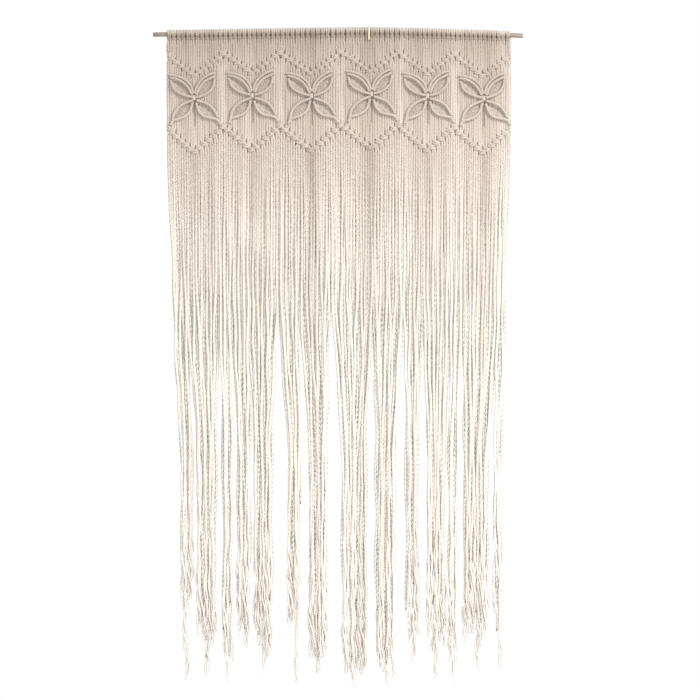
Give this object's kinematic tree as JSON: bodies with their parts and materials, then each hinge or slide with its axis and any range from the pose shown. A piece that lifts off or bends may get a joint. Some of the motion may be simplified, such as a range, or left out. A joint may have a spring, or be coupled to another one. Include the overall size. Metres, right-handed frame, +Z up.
{
  "type": "macrame curtain on a wooden rod",
  "caption": "Knotted cotton doorway curtain on a wooden rod: lark's-head heading, flowers between two zigzags of knots, and a long fringe that hangs in ragged bundles.",
  "frame": {"origin": "the point where a nail carries the hanging loop, at the inner top of the loop", "axes": "+Z up, +X to the right seen from the front, +Y back towards the wall, so the front faces -Y"},
  "size_m": [1, 0.0282, 1.7896],
  "materials": {
    "rod_wood": "plain sanded dowel, unvarnished",
    "loop_cord": "smooth twisted cotton cord, paler than the curtain",
    "cotton_cord": "natural unbleached three-ply cotton cord, matt and a little fuzzy"
  },
  "bodies": {
    "root": {"rod": "rod_wood", "hanging_loop": "loop_cord", "panel_1": "cotton_cord", "panel_2": "cotton_cord", "panel_3": "cotton_cord", "panel_4": "cotton_cord", "panel_5": "cotton_cord", "panel_6": "cotton_cord"}
  },
  "joints": []
}
